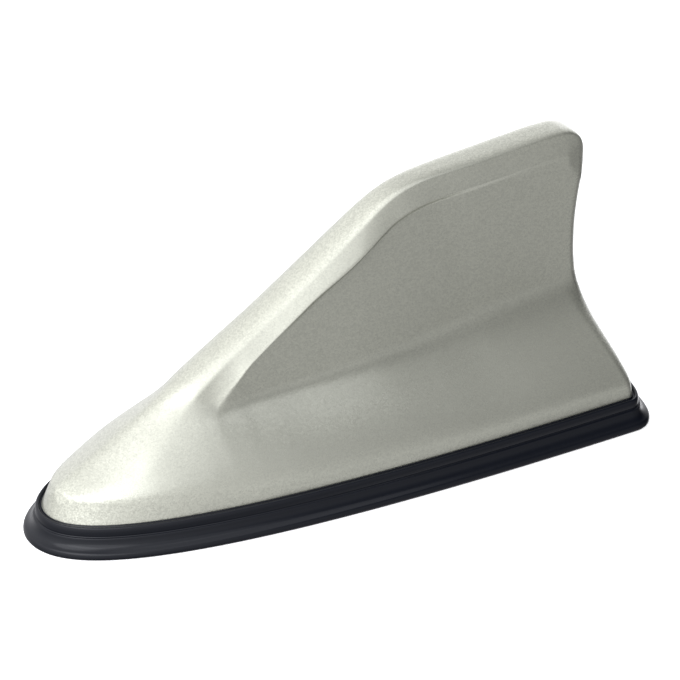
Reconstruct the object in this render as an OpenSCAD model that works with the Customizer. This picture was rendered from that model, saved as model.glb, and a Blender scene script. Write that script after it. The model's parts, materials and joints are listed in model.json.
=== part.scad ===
// Shark fin aerial for a car roof: a hollow painted fin cover on a rubber
// gasket, closed below by a base plate that is stuck to the roof.
// Millimetres. Nose to minus X, tail to plus X, Z up, roof surface at z = 0,
// symmetric about the plane y = 0.

/* [Overall size] */
// length over the gasket lip
body_len = 167.2; // [164:0.2:172]
// width over the gasket lip
body_w = 76; // [74:1:80]
// height from the roof to the top of the fin
body_h = 71; // [70:1:74]

/* [Cover] */
// wall thickness of the moulded cover
cover_wall = 2.2; // [2:0.1:2.4]
// height of the bottom edge of the cover above the roof
cover_z = 7.2; // [7:0.1:7.6]
// diameter of the screw bosses inside the cover
boss_d = 6.4; // [6:0.1:6.8]
// height of the lower end of the screw bosses
boss_z = 9; // [8.8:0.1:9.4]

/* [Gasket] */
// width of the flared lip outside the cover
lip_out = 4.7; // [4.4:0.1:5]
// thickness of the rubber lip at its edge
lip_t = 1; // [0.8:0.1:1.2]
// distance the round bead stands out from the cover
bead_out = 1.7; // [1.6:0.1:1.9]
// width of the rubber foot inside the cover edge
foot_in = 2.6; // [2.5:0.1:2.8]

/* [Base plate] */
// thickness of the adhesive foam pad
pad_t = 1.2; // [1:0.1:1.4]
// thickness of the base plate
base_t = 2.8; // [2.6:0.1:3]
// width of the adhesive band round the edge
pad_band = 7; // [6.5:0.5:7.5]
// gap between the pad and the rubber foot
pad_gap = 1.6; // [1.4:0.1:2]
// height of the locating wall on the base plate
base_wall_h = 3.9; // [3.6:0.1:4.2]
// thickness of the locating wall
base_wall_t = 1.6; // [1.4:0.1:1.8]

/* [Cover screws] */
// distance of the front screws ahead of the centre
screw_front_x = 42; // [41:0.5:43]
// distance of the front screws from the centre line
screw_front_y = 6; // [5.5:0.5:6.5]
// distance of the rear screws ahead of the rear of the lip
screw_rear_in = 21.6; // [21:0.1:22.4]
// distance of the rear screws from the centre line
screw_rear_y = 14; // [13.5:0.5:14.5]
// thread diameter of the cover screws
screw_d = 2.9; // [2.8:0.1:3]
// head diameter of the cover screws
screw_head_d = 5.4; // [5.2:0.1:5.6]
// height of the screw heads
screw_head_h = 1.8; // [1.6:0.1:2]
// length of the cover screws under the head
screw_len = 10; // [9.5:0.5:10.5]
// free play of a screw in the base plate
screw_play = 0.3; // [0.2:0.05:0.4]

/* [Circuit board] */
// length of the amplifier board
board_len = 62; // [60:1:64]
// width of the amplifier board
board_w = 26; // [25:0.5:27]
// thickness of the amplifier board
board_t = 1.6; // [1.5:0.1:1.7]
// distance of the board's rear edge ahead of the rear screws
board_gap = 17; // [16:0.5:18]
// height of the board standoffs above the base plate
standoff_h = 3.2; // [3:0.1:3.6]
// diameter of the board standoffs
standoff_d = 5.2; // [5:0.1:5.4]
// thread diameter of the board screws
board_screw_d = 2; // [1.9:0.05:2.1]
// head diameter of the board screws
board_head_d = 3.8; // [3.6:0.1:4]
// thickness of the ground plate under the board
ground_t = 0.6; // [0.5:0.05:0.7]

/* [Amplifier] */
// length of the shield can
can_len = 20; // [19:0.5:21]
// width of the shield can
can_w = 16; // [15:0.5:17]
// height of the shield can
can_h = 5; // [4.6:0.1:5.4]
// sheet thickness of the shield can
can_t = 0.4; // [0.35:0.05:0.5]
// side of the amplifier chip
chip_w = 5; // [4.6:0.2:5.4]

/* [Lead outlet] */
// bore of the rubber grommet for the lead
lead_bore = 5; // [4.8:0.1:5.2]
// diameter of the hole in the base plate
grommet_d = 9; // [8.8:0.1:9.2]
// diameter of the grommet flanges
grommet_flange = 12; // [11.6:0.2:12.4]
// distance of the grommet ahead of the fin centre
grommet_x = 28; // [27:0.5:29]
// diameter of the coaxial socket
socket_d = 5.6; // [5.4:0.1:5.8]
// height of the coaxial socket
socket_h = 8; // [7.6:0.2:8.4]

/* [Mast] */
// thickness of the upright mast board
mast_t = 1.2; // [1.1:0.1:1.3]
// thickness of the copper cap strip
strip_t = 0.4; // [0.35:0.05:0.5]
// clearance of the mast inside the fin
mast_gap = 4; // [3.8:0.1:4.4]
// diameter of the coil former
former_d = 9; // [8.6:0.2:9.4]
// height of the coil former
former_h = 13; // [12.5:0.5:13.5]
// diameter of the coil wire
wire_d = 0.8; // [0.7:0.05:0.9]
// number of turns on the coil
coil_turns = 7; // [6:1:8]

/* [Hidden] */
$fn = 32;
// plan outline of the cover at its bottom edge, nominal millimetres
nom_nose = -78.9;
nom_tail = 78.9;
nom_half = 33.49;
// heights of the bottom edge and the top line, and the tip of the fin, nominal millimetres
nom_foot = 7.2;
nom_top = 71;
tip = [77.8, 63.8];
kx = (body_len / 2 - lip_out) / nom_tail;
ky = (body_w / 2 - lip_out) / nom_half;
kz = (body_h - cover_z) / (nom_top - nom_foot);
screw_rear_x = body_len / 2 - screw_rear_in;
board_x = screw_rear_x - board_gap - board_len / 2;
cols = 50;
base_z = pad_t;
base_top = base_z + base_t;
board_z = base_top + standoff_h + ground_t;
board_top = board_z + board_t;

// top line of the fin in the side view, nose to tip
top_pts = [[-76.7, 12.6], [-76, 13.5], [-74.6, 14.5], [-72.2, 15.8], [-68, 17.8],
  [-60, 21.9], [-48.2, 28.4], [-41.2, 32.5], [-34.3, 36.4], [-23.9, 42.2], [-13.3, 48.4],
  [-2.8, 55], [7.7, 61.7], [14, 65.5], [18.3, 67.5], [22.5, 68.8], [29.1, 69.8],
  [36.2, 70.1], [47, 70.4], [57.9, 70.8], [65, 71], [70.3, 70.8], [73.4, 70.1],
  [75.7, 68.5], [77.2, 66.2], [77.8, 63.8]];
// trailing edge, height and distance from the centre
tail_pts = [[7.2, 78.9], [10, 78.8], [14, 78.3], [20, 77.4], [26, 76.2], [32, 75.4],
  [38, 75], [44, 75.1], [50, 75.7], [56, 76.7], [60, 77.4], [63.8, 77.8]];

function clip(x, a, b) = min(max(x, a), b);
function step3(x, a, b) = let (t = clip((x - a) / (b - a), 0, 1)) t * t * (3 - 2 * t);
function seg_at(x, p, i = 0) =
  (i >= len(p) - 2 || x < p[i + 1][0]) ? i : seg_at(x, p, i + 1);
function mean_slope(a, b) = a * b <= 0 ? 0 : 2 * a * b / (a + b);
// smooth curve through a table of points
function along(x0, p) =
  let (n = len(p), x = clip(x0, p[0][0], p[n - 1][0]), i = seg_at(x, p),
       w = p[i + 1][0] - p[i][0], d = (p[i + 1][1] - p[i][1]) / w,
       da = i > 0 ? (p[i][1] - p[i - 1][1]) / (p[i][0] - p[i - 1][0]) : d,
       db = i < n - 2 ? (p[i + 2][1] - p[i + 1][1]) / (p[i + 2][0] - p[i + 1][0]) : d,
       m0 = mean_slope(da, d), m1 = mean_slope(d, db), t = (x - p[i][0]) / w)
    p[i][1] * (1 - t) * (1 - t) * (1 + 2 * t) + m0 * w * t * (1 - t) * (1 - t)
      + p[i + 1][1] * t * t * (3 - 2 * t) - m1 * w * t * t * (1 - t);
function straight(x0, p) =
  let (x = clip(x0, p[0][0], p[len(p) - 1][0]), i = seg_at(x, p),
       t = (x - p[i][0]) / (p[i + 1][0] - p[i][0])) p[i][1] * (1 - t) + p[i + 1][1] * t;
function soft_max(a, b, k) = let (g = max(k - abs(a - b), 0)) max(a, b) + g * g / (4 * k);

// half width of the cover outline at its bottom edge
function half_base(x) =
  let (s = max(x - nom_nose, 0), f = 37.8 * pow(1 - exp(-s / 101), 0.473),
       r = 33 * sqrt(max(nom_tail - x, 0) / 4.6), g = max(7 - abs(f - r), 0))
    min(f, r) - g * g / 28 * clip(min(f, r) / 8, 0, 1);

// length along the top line, then points by that length
top_run = [for (i = 0, s = 0; i < len(top_pts);
  s = s + (i < len(top_pts) - 1 ? norm(top_pts[i + 1] - top_pts[i]) : 0), i = i + 1) s];
top_len = top_run[len(top_pts) - 1];
top_xt = [for (i = [0:len(top_pts) - 1]) [top_run[i], top_pts[i][0]]];
top_zt = [for (i = [0:len(top_pts) - 1]) [top_run[i], top_pts[i][1]]];
function top_at(s) = [along(s, top_xt), along(s, top_zt)];
top_fine = [for (i = [0:80]) top_at(top_len * (0.12 * i / 80 + 0.44 * (1 - cos(180 * i / 80))))];
function seg_gap(q, a, b) =
  let (d = b - a, t = clip(((q - a) * d) / (d * d), 0, 1)) norm(q - a - t * d);
function top_gap(q) = min([for (i = [0:len(top_fine) - 2]) seg_gap(q, top_fine[i], top_fine[i + 1])]);

// half thickness of the fin at a point of the side view, nominal millimetres
nose_lean = 0.4;
nose_h = 7.2;
function band_depth(x) = along(x, [[-80, 12], [-44, 10.4], [-36, 8.2], [-30, 6.4], [-24, 4.9], [-8, 4.3],
  [8, 5.6], [24, 5.9], [79, 6.2]]);
function half_fin(x, z) =
  let (d = top_gap([x, z]), e = max(along(z, tail_pts) - x, 0),
       zr = along(x, [[-79, 13.2], [-66, 12.7], [-58, 12.5], [-52, 12], [-45, 11.1],
         [-38, 10.3], [-22, 9.3], [0, 9], [27, 9.6], [65, 10.4], [79, 10.4]]),
       zh = along(x, [[-79, 14.6], [-75, 15.4], [-70, 18.1], [-65, 20.9], [-55, 26.6], [-50, 28.9],
         [-45, 31.2], [-40, 33.2], [-36, 34], [-32, 33.8], [-26, 33], [-12, 32.3], [8, 32],
         [24, 31.1], [40, 30.4], [79, 29.8]]),
       p = along(x, [[-79, 1.35], [-68, 1.35], [-58, 1.3], [-45, 1.3], [-20, 1.42], [0, 1.46],
         [40, 1.35], [79, 1.25]]),
       q = along(x, [[-79, 1.2], [-68, 1.2], [-58, 1.25], [-45, 1.15], [-20, 1], [79, 1]]),
       u = clip((z - zr) / (zh - zr), 0, 1),
       rim = 1 - along(x, [[-79, 0.13], [-60, 0.09], [-40, 0.03], [-20, 0.012], [79, 0.012]])
         * clip((z - nom_foot) / (zr - nom_foot), 0, 1),
       wt = step3(x, 40, 60), wn = 1 - step3(x, -77, -50),
       xe = (x - nose_lean * (clip(z, nom_foot, nom_foot + nose_h) - nom_foot) * wn) * (1 - wt)
         + (nom_tail - e) * wt,
       low = half_base(xe) * rim * pow(1 - pow(u, p), 1 / q),
       yt = along(x, [[-80, 4.7], [-44, 4.7], [-36, 4.4], [-28, 3.8], [-16, 3.4], [20, 3.4],
         [50, 3], [79, 2.6]]),
       db = band_depth(x),
       kb = along(x, [[-80, 0.46], [-44, 0.48], [-36, 0.53], [-30, 0.71], [-24, 0.89],
         [-12, 0.98], [8, 0.68], [20, 0.42], [40, 0.36], [79, 0.33]]),
       band = yt + kb * min(d, db),
       deep = 4.7 + max(66.5 - z, 0) * along(x, [[-40, 0.106], [-25, 0.106], [-5, 0.117],
         [8, 0.123], [20, 0.116], [40, 0.087], [79, 0.016]]),
       st = step3(d, db - 0.4, db + 1.3),
       wall = (band * (1 - st) + deep * st) * sqrt(1 - pow(1 - clip(e / 3.2, 0, 1), 2))
         * step3(x, -62, -38),
       y = soft_max(low, wall, along(x, [[-75, 0.5], [-55, 5], [-42, 2.4], [-34, 1.2], [0, 1.8],
         [22, 3.6], [45, 9], [79, 11]])),
       dc = along(x, [[-80, 1], [-74, 2], [-66, 4], [-58, 5], [-45, 3.6], [-25, 1.7], [10, 1.5],
         [25, 1.2], [79, 1]]),
       n = along(x, [[-80, 2], [-45, 2], [10, 2.3], [25, 2.8], [79, 3]]))
    y * sqrt(clip(e / 0.6, 0, 1)) * pow(1 - pow(1 - clip(d / dc, 0, 1), n), 1 / n);

// rows up the side of the fin: fixed steps at both ends, even between
low_steps = [0, 1.1, 2, 2.7, 3.6, 5.4, 8];
// rows under the top edge: shares of the bevel depth and distances added to them
top_steps = [[1, 3.6], [1, 1.55], [1, 0.95], [1, 0.4], [1, -0.2], [0.6, 0], [0.34, 0], [0.2, 0],
  [0.11, 0], [0.05, 0], [0.015, 0], [0, 0]];
mid_rows = 5;
function row_at(j, run, sn, nl, db) =
  let (m = min(1, run / 42), lo = low_steps[nl - 1] * m, up = [for (q = top_steps) q[0] * db + q[1]],
       mt = min(m / sn, 0.72 * run / up[0]), hi = run - up[0] * mt)
    j < nl ? low_steps[j] * m / run
    : j < nl + mid_rows ? (lo + (hi - lo) * (j - nl + 1) / (mid_rows + 1)) / run
    : (run - up[j - nl - mid_rows] * mt) / run;
row_count = len(low_steps) + mid_rows + len(top_steps);
function col_x(i, n) = nom_nose + (nom_tail - nom_nose) * (0.5 - 0.5 * cos(180 * i / n));
function col_top(i, n) = top_at(top_len * (0.55 * i / n + 0.45 * (0.5 - 0.5 * cos(180 * i / n))));
// point of the side view for column i and row j
function side_pt(i, j) =
  let (b = [col_x(i, cols), nom_foot], t = col_top(i, cols),
       t2 = col_top(min(i + 0.5, cols), cols), t1 = col_top(max(i - 0.5, 0), cols),
       run = norm(t - b), dir = (t - b) / run, tan_v = (t2 - t1) / norm(t2 - t1),
       sn = max(abs(dir[0] * tan_v[1] - dir[1] * tan_v[0]), 0.4),
       v = row_at(j, run, sn, len(low_steps), band_depth(t[0] - dir[0] * 5 / sn)),
       r0 = [nom_tail, nom_foot], zt = nom_foot + (tip[1] - nom_foot) * v,
       r = [along(zt, tail_pts), zt], rl = r0 + (tip - r0) * v)
    b + (t - b) * v + (r - rl) * step3(i / cols, 0.45, 1);
function place(x, y, z) = [x * kx, y * ky, cover_z + (z - nom_foot) * kz];

// outer skin points, row by row, for one side
skin = [for (j = [0:row_count - 1]) [for (i = [0:cols])
  let (q = side_pt(i, j), edge = (i == 0 || i == cols || j == row_count - 1),
       y = edge ? 0 : (j == 0 ? half_base(q[0]) : half_fin(q[0], q[1])))
    place(q[0], y, q[1])]];

// point i of the cover outline moved outwards, then a closed ring of them
function base_pt(i) = let (x = col_x(i, cols)) [x * kx, half_base(x) * ky];
function ring_pt(i, off) =
  let (p = base_pt(i), a = base_pt(max(i - 1, 0)), b = base_pt(min(i + 1, cols)),
       t = (b - a) / norm(b - a), n = i == 0 ? [-1, 0] : i == cols ? [1, 0] : [-t[1], t[0]])
    p + off * n;
function ring(off) = concat([for (i = [0:cols]) ring_pt(i, off)],
  [for (i = [cols - 1:-1:1]) let (p = ring_pt(i, off)) [p[0], -p[1]]]);

// inner skin: the same shape, drawn in by the wall
in_rows = 9;
in_top = [for (i = [0:40]) let (s = top_len * (0.012 + 0.958 * i / 40), a = top_at(s),
  b = top_at(min(s + 0.5, top_len)), c = top_at(max(s - 0.5, 0)), v = (b - c) / norm(b - c))
    a + 3 * [v[1], -v[0]]];
in_run = [for (i = 0, s = 0; i < len(in_top);
  s = s + (i < len(in_top) - 1 ? norm(in_top[i + 1] - in_top[i]) : 0), i = i + 1) s];
in_xt = [for (i = [0:len(in_top) - 1]) [in_run[i], in_top[i][0]]];
in_zt = [for (i = [0:len(in_top) - 1]) [in_run[i], in_top[i][1]]];
function in_top_at(f) = let (s = f * in_run[len(in_top) - 1])
  [straight(s, in_xt), straight(s, in_zt)];
function in_gap(q) = min([for (i = [0:len(in_top) - 2]) seg_gap(q, in_top[i], in_top[i + 1])]);
function in_tail(z) = along(z, tail_pts) - cover_wall - step3(z, 8, 20);
function in_half(x, z) =
  let (d = in_gap([x, z]), e = max(in_tail(z) - x, 0),
       y = max(half_fin(x * 1.02, z + 1.4) - cover_wall + 0.3, 1.1))
    y * sqrt(1 - pow(1 - clip(d / 1.5, 0, 1), 2)) * sqrt(1 - pow(1 - clip(e / 2, 0, 1), 2));
function in_foot(i) = let (p = ring_pt(i, -cover_wall)) [p[0] / kx, p[1] / ky];
function in_pt(i, j) =
  let (f = i / cols, fc = 0.5 - 0.5 * cos(180 * f), b = [in_foot(i)[0], nom_foot],
       t = in_top_at(0.5 * f + 0.5 * fc), w = j / in_rows, v = 0.4 * w + 0.6 * w * (2 - w),
       r0 = [in_foot(cols)[0], nom_foot], r1 = in_top_at(1),
       zt = nom_foot + (r1[1] - nom_foot) * v,
       r = [in_tail(zt), zt], rl = r0 + (r1 - r0) * v)
    b + (t - b) * v + (r - rl) * step3(f, 0.45, 1);
inner = [for (j = [-1:in_rows]) [for (i = [0:cols])
  let (q = in_pt(i, max(j, 0)), edge = (i == 0 || i == cols || j == in_rows),
       y = edge ? 0 : (j <= 0 ? in_foot(i)[1] : in_half(q[0], q[1])),
       p = place(q[0], y, q[1]))
    j < 0 ? [p[0], p[1], cover_z - 3] : p]];

// two triangles of a cell, split so that neither lies flat in the middle plane
function cell(i, a, nc) = i < nc / 2
  ? [[a, a + 1, a + nc], [a + 1, a + nc + 1, a + nc]]
  : [[a, a + 1, a + nc + 1], [a, a + nc + 1, a + nc]];
// closed solid from the rows of one side and their mirror image
module shell_of(rows) {
  nr = len(rows);
  nc = len(rows[0]);
  far = [for (r = rows) for (p = r) [p[0], p[1], p[2]]];
  near = [for (r = rows) for (p = r) [p[0], -p[1], p[2]]];
  n = nr * nc;
  polyhedron(points = concat(far, near), faces = concat(
    [for (j = [0:nr - 2]) for (i = [0:nc - 2])
      for (t = cell(i, j * nc + i, nc)) t],
    [for (j = [0:nr - 2]) for (i = [0:nc - 2])
      for (t = cell(i, n + j * nc + i, nc)) [t[0], t[2], t[1]]],
    [for (i = [0:nc - 2]) for (t = [[i, n + i, i + 1], [i + 1, n + i, n + i + 1]]) t]));
}

// closed ring swept round the outline from a section of offsets and heights
module swept_ring(section) {
  loops = [for (s = section) ring(s[0])];
  nk = len(section);
  nl = 2 * cols;
  polyhedron(points = [for (i = [0:nl - 1]) for (k = [0:nk - 1])
      [loops[k][i][0], loops[k][i][1], section[k][1]]],
    faces = [for (i = [0:nl - 1]) for (k = [0:nk - 1])
      let (a = i * nk + k, b = i * nk + (k + 1) % nk,
           c = ((i + 1) % nl) * nk + k, d = ((i + 1) % nl) * nk + (k + 1) % nk)
        for (t = [[a, b, c], [b, d, c]]) t]);
}
module plate(off, z0, h) { translate([0, 0, z0]) linear_extrude(h) polygon(ring(off)); }

// the outline drawn in by about m all round
function inset(m) = let (a = nom_tail * kx, b = nom_half * ky)
  [for (p = ring(0)) [p[0] * (a - m) / a, p[1] * (b - m) / b]];

// screw places and board corners
cover_screw_at = [for (s = [-1, 1]) for (q = [[-screw_front_x, screw_front_y],
  [screw_rear_x, screw_rear_y]]) [q[0], s * q[1]]];
board_screw_at = [for (s = [-1, 1]) for (q = [-1, 1])
  [board_x + q * (board_len / 2 - 3), s * (board_w / 2 - 3)]];
screw_seat = boss_z - 3.5;
pilot_d = screw_d;

module cover() {
  color([0.74, 0.73, 0.67])
  difference() {
    shell_of(skin);
    difference() {
      shell_of(inner);
      for (q = cover_screw_at) translate([q[0], q[1], boss_z]) cylinder(h = 60, d = boss_d);
    }
    for (q = cover_screw_at) translate([q[0], q[1], boss_z - 1])
      cylinder(h = screw_len - 1.5, d = pilot_d);
  }
}

module gasket() {
  color([0.09, 0.1, 0.12])
  swept_ring([[-foot_in, cover_z], [0.1, cover_z], [0.4, cover_z - 0.45],
    [0.75, cover_z], [1.15, cover_z + 0.15], [bead_out - 0.15, cover_z - 0.35],
    [bead_out, cover_z - 1.75], [bead_out - 0.1, cover_z - 2.15],
    [bead_out + 0.45, cover_z - 2.4], [bead_out + 0.65, 3.6], [bead_out + 1.2, 2.5],
    [bead_out + 2.1, lip_t + 0.65], [lip_out, lip_t * 0.7],
    [lip_out - 0.2, 0], [2.2, 0], [1.3, 0.7], [-0.4, 0.7], [-1, 0], [-foot_in, 0]]);
}

rib_step = 15;
rib_y = 11;
rib_t = 1.4;
rib_count = floor(body_len / 2 / rib_step);
module base_plate() {
  wall_in = cover_wall + 1.6;
  color([0.13, 0.13, 0.14])
  difference() {
    union() {
      plate(-foot_in, base_z, base_t);
      translate([0, 0, base_z + 1]) linear_extrude(base_t - 1 + base_wall_h) difference() {
        polygon(inset(wall_in));
        polygon(inset(wall_in + base_wall_t));
      }
      for (q = cover_screw_at) translate([q[0], q[1], base_z])
        cylinder(h = boss_z - base_z, d = screw_head_d + 3.8);
      for (q = board_screw_at) translate([q[0], q[1], base_z + 1])
        cylinder(h = base_t - 1 + standoff_h, d = standoff_d);
    }
    // shallow pockets between ribs on the underside
    translate([0, 0, base_z - 1]) linear_extrude(2.1) difference() {
      polygon(inset(foot_in + pad_gap + pad_band + 2));
      for (x = [-rib_count * rib_step:rib_step:rib_count * rib_step]) translate([x + 2, 0])
        square([rib_t, body_w], center = true);
      for (y = [-rib_y, 0, rib_y]) translate([0, y]) square([body_len, rib_t], center = true);
      for (q = concat(cover_screw_at, board_screw_at)) translate(q)
        circle(d = screw_head_d + 3.8);
      translate([-grommet_x, 0]) circle(d = grommet_flange + 3);
    }
    for (q = cover_screw_at) translate([q[0], q[1], 0]) {
      translate([0, 0, base_z - 1]) cylinder(h = screw_seat - base_z + 1, d = screw_head_d + 0.6);
      cylinder(h = 20, d = screw_d + 2 * screw_play);
    }
    for (q = board_screw_at) translate([q[0], q[1], base_top - 1])
      cylinder(h = 12, d = board_screw_d);
    translate([-grommet_x, 0, -1]) cylinder(h = 10, d = grommet_d);
  }
}

module adhesive_pad() {
  color([0.32, 0.33, 0.34])
  linear_extrude(pad_t) difference() {
    polygon(inset(foot_in + pad_gap));
    polygon(inset(foot_in + pad_gap + pad_band));
  }
}

// pan head screw, head below the seat, shank upwards
module screw(d, head_d, head_h, len) {
  translate([0, 0, -head_h]) difference() {
    cylinder(h = head_h, d = head_d);
    for (a = [0, 90]) rotate([0, 0, a]) translate([-head_d * 0.3, -head_d * 0.07, -0.1])
      cube([head_d * 0.6, head_d * 0.14, head_h * 0.5 + 0.1]);
  }
  cylinder(h = len - d * 0.5, d = d);
  translate([0, 0, len - d * 0.5]) cylinder(h = d * 0.5, d1 = d, d2 = d * 0.3);
}

module cover_screws() {
  color([0.7, 0.7, 0.68])
  for (q = cover_screw_at) translate([q[0], q[1], screw_seat])
    screw(screw_d, screw_head_d, screw_head_h, screw_len);
}

module ground_plate() {
  color([0.72, 0.72, 0.7])
  translate([board_x, 0, board_z - ground_t]) linear_extrude(ground_t) difference() {
    square([board_len, board_w], center = true);
    for (q = board_screw_at) translate([q[0] - board_x, q[1]]) circle(d = board_screw_d + 0.4);
    square([board_len - 24, board_w - 12], center = true);
  }
}

module circuit_board() {
  color([0.1, 0.33, 0.17])
  translate([board_x, 0, board_z]) linear_extrude(board_t) difference() {
    square([board_len, board_w], center = true);
    for (q = board_screw_at) translate([q[0] - board_x, q[1]]) circle(d = board_screw_d + 0.4);
  }
}

module board_screws() {
  color([0.75, 0.75, 0.72])
  for (q = board_screw_at) translate([q[0], q[1], board_top]) mirror([0, 0, 1])
    screw(board_screw_d, board_head_d, 1.3, 5.5);
}

can_x = board_x + board_len / 2 - can_len / 2 - 7;
module shield_can() {
  color([0.78, 0.78, 0.76])
  translate([can_x, 0, board_top]) difference() {
    translate([-can_len / 2, -can_w / 2, 0]) cube([can_len, can_w, can_h]);
    translate([-can_len / 2 + can_t, -can_w / 2 + can_t, -1])
      cube([can_len - 2 * can_t, can_w - 2 * can_t, can_h + 1 - can_t]);
    for (x = [-6:4:6]) translate([x, 0, can_h - 1]) cylinder(h = 2, d = 1.6);
  }
}

module amplifier_chip() {
  color([0.1, 0.1, 0.1])
  translate([can_x - chip_w / 2, -chip_w / 2, board_top]) cube([chip_w, chip_w, 1.2]);
}

module chip_capacitors() {
  color([0.62, 0.52, 0.38])
  for (x = [-6, 6]) for (y = [-4.5, 0, 4.5])
    translate([can_x + x - 0.65, y - 1, board_top]) cube([1.3, 2, 0.9]);
}

module chip_inductors() {
  color([0.2, 0.2, 0.22])
  for (k = [0:2]) translate([board_x - board_len / 2 + 7 + 5 * k, -board_w / 2 + 2.6, board_top])
    cube([2.6, 3.2, 2]);
}

socket_x = board_x - board_len / 2;
socket_z = board_top + 0.6 + socket_d / 2;
module lead_socket() {
  color([0.8, 0.74, 0.5])
  difference() {
    union() {
      translate([socket_x + 3, 0, socket_z]) rotate([0, -90, 0]) cylinder(h = socket_h, d = socket_d);
      translate([socket_x, -socket_d / 2 - 0.5, board_top])
        cube([4, socket_d + 1, socket_d + 1.2]);
    }
    translate([socket_x + 2, 0, socket_z]) rotate([0, -90, 0])
      cylinder(h = socket_h, d = socket_d - 1.6);
  }
}

module socket_insulator() {
  color([0.93, 0.93, 0.9])
  difference() {
    translate([socket_x + 2, 0, socket_z]) rotate([0, -90, 0])
      cylinder(h = 2.4, d = socket_d - 1.6);
    translate([socket_x + 3, 0, socket_z]) rotate([0, -90, 0]) cylinder(h = 6, d = 1);
  }
}

module socket_pin() {
  color([0.85, 0.7, 0.35])
  translate([socket_x + 2, 0, socket_z]) rotate([0, -90, 0]) cylinder(h = 5.6, d = 1);
}

module cable_grommet() {
  color([0.08, 0.08, 0.09])
  translate([-grommet_x, 0, 0]) difference() {
    union() {
      translate([0, 0, base_z - 1]) cylinder(h = 1, d = grommet_flange);
      translate([0, 0, base_z]) cylinder(h = base_t, d = grommet_d);
      translate([0, 0, base_top]) cylinder(h = 1.2, d = grommet_flange);
    }
    translate([0, 0, -1]) cylinder(h = 10, d = lead_bore);
  }
}

// side view of the mast, its top edge below the top line of the fin
mast_x0 = -14 * kx;
mast_x1 = screw_rear_x + 1;
foot_x0 = board_x - 22;
foot_x1 = board_x - 6;
mast_low = board_top + can_h + 2;
mast_foot = board_top + 1;
mast_nose_z = place(0, 0, 30)[2];
mast_tail_z = place(0, 0, 34)[2];
// height of the mast's top edge
function mast_z(x) = place(0, 0, along(x / kx, top_pts))[2] - (3 + mast_gap) * 1.18;
mast_edge = [for (x = [mast_x0:3.5:mast_x1]) [x, mast_z(x)]];
mast_side = concat([[foot_x0, mast_foot], [foot_x1, mast_foot], [foot_x1, mast_low],
  [mast_x1 - 6, mast_low], [mast_x1, mast_tail_z]], [for (i = [len(mast_edge) - 1:-1:0]) mast_edge[i]],
  [[mast_x0, mast_nose_z], [foot_x0, mast_low]]);
// upright slice of a side view outline, centred on y
module slice(pts, y0, t) {
  translate([0, y0 + t, 0]) rotate([90, 0, 0]) linear_extrude(t) polygon(pts);
}

module mast_holder() {
  color([0.16, 0.16, 0.17])
  difference() {
    translate([foot_x0 - 2, -3.2, board_top]) cube([foot_x1 - foot_x0 + 4, 6.4, 5]);
    slice(mast_side, -mast_t / 2, mast_t);
  }
}

module mast_board() {
  color([0.1, 0.33, 0.17])
  slice(mast_side, -mast_t / 2, mast_t);
}

cap_w = 3.6;
cap_side = concat([for (q = mast_edge) [q[0], q[1] + strip_t]],
  [for (i = [len(mast_edge) - 1:-1:0]) [mast_edge[i][0], mast_edge[i][1] - cap_w]]);
module cap_strip() {
  color([0.72, 0.45, 0.2])
  difference() {
    slice(cap_side, -mast_t / 2 - strip_t, mast_t + 2 * strip_t);
    slice(mast_side, -mast_t / 2, mast_t);
  }
}

// meander on one face of the mast, its last bar joined to the cap strip
coil_x = board_x - 1;
coil_y = 6.7;
bar_n = 8;
bar_step = 5.5;
bar_w = 1.8;
bar_low = board_top + former_h - 2.5;
function bar_x(k) = coil_x - bar_w / 2 + bar_step * k;
function bar_top(k) = k == bar_n - 1 ? mast_z(bar_x(k)) - cap_w
  : mast_z(min(bar_x(k), bar_x(k + 1))) - cap_w - 4;
module mast_track() {
  color([0.75, 0.5, 0.25])
  translate([0, mast_t / 2 + 0.2, 0]) rotate([90, 0, 0]) linear_extrude(0.2) union() {
    for (k = [0:bar_n - 1]) translate([bar_x(k), bar_low])
      square([bar_w, (k == bar_n - 1 ? bar_top(k) : bar_top(k - k % 2)) - bar_low]);
    for (k = [0:bar_n - 2]) translate([bar_x(k), k % 2 == 0 ? bar_top(k) - bar_w : bar_low])
      square([bar_step + bar_w, bar_w]);
  }
}

module coil_former() {
  color([0.9, 0.88, 0.8])
  translate([coil_x, coil_y, board_top]) difference() {
    union() {
      cylinder(h = former_h, d = former_d - 2.2);
      cylinder(h = 1.4, d = former_d);
      translate([0, 0, former_h - 1.4]) cylinder(h = 1.4, d = former_d);
    }
    translate([0, 0, -1]) cylinder(h = former_h - 1, d = 3);
    for (z = [-1, former_h - 2]) translate([former_d / 2 - 2, -0.9, z]) cube([3, 1.8, 3.4]);
  }
}

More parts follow.
